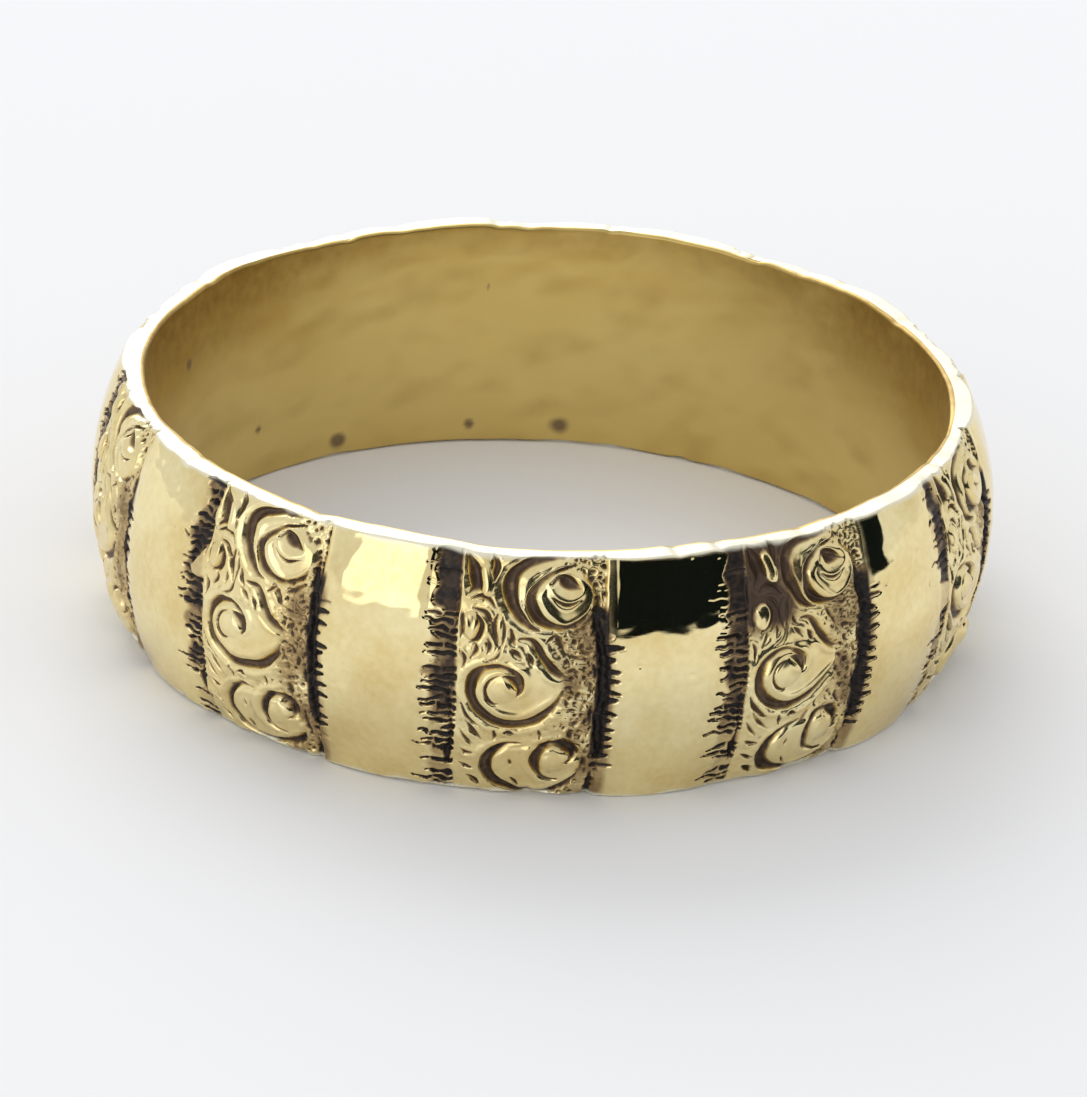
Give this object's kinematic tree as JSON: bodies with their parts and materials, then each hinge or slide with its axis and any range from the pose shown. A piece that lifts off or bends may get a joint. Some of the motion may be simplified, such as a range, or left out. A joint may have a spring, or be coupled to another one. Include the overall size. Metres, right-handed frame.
{
  "type": "wedding band",
  "caption": "Domed finger ring of gold-filled stock with burnished plain panels between chased panels of scrolls, open through the middle.",
  "frame": {"origin": "on the finger axis, at the plane of the lower rim that the band stands on", "axes": "+Z along the finger axis, from the lower rim to the upper rim; a chased panel is centred on -Y"},
  "size_m": [0.0196, 0.0196, 0.0055],
  "materials": {
    "chased_gold": "burnished, with dark tarnish in the chasing",
    "core_brass": "plain, sealed inside",
    "worn_gold": "satin, worn by the finger"
  },
  "bodies": {
    "root": {"outer_gold_shell": "chased_gold", "brass_core": "core_brass", "inner_gold_lining": "worn_gold"}
  },
  "joints": []
}
